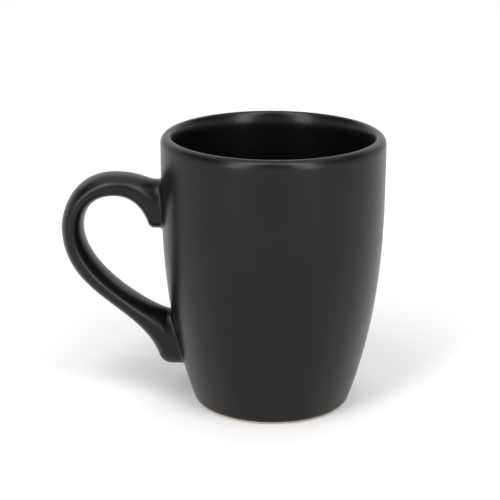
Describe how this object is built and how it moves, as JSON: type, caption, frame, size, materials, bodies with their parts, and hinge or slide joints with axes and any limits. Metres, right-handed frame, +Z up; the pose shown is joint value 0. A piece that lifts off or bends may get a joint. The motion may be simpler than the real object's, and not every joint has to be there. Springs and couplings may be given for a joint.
{
  "type": "ceramic mug",
  "caption": "Tall ceramic mug with a rolled lip, sides that pull in to a turned foot ring, and an ear-shaped strap handle, glazed inside and out over bare stoneware.",
  "frame": {"origin": "on the axis of the cup, in the plane of the foot ring that the mug stands on", "axes": "+Z up along the axis of the cup and out of its mouth; the handle is in the XZ plane and points to -X; +Y is across the handle"},
  "size_m": [0.1216, 0.0836, 0.104],
  "materials": {
    "clay": "bare fired stoneware, matt",
    "slip": "fired joining slip, matt",
    "black_glaze": "satin black glaze",
    "liner_glaze": "satin black glaze, a little glossier than the outside"
  },
  "bodies": {
    "root": {"cup_body": "clay", "handle": "clay", "upper_slip_joint": "slip", "lower_slip_joint": "slip", "outer_glaze": "black_glaze", "inner_glaze": "liner_glaze", "handle_glaze": "black_glaze", "base_glaze": "black_glaze"}
  },
  "joints": []
}
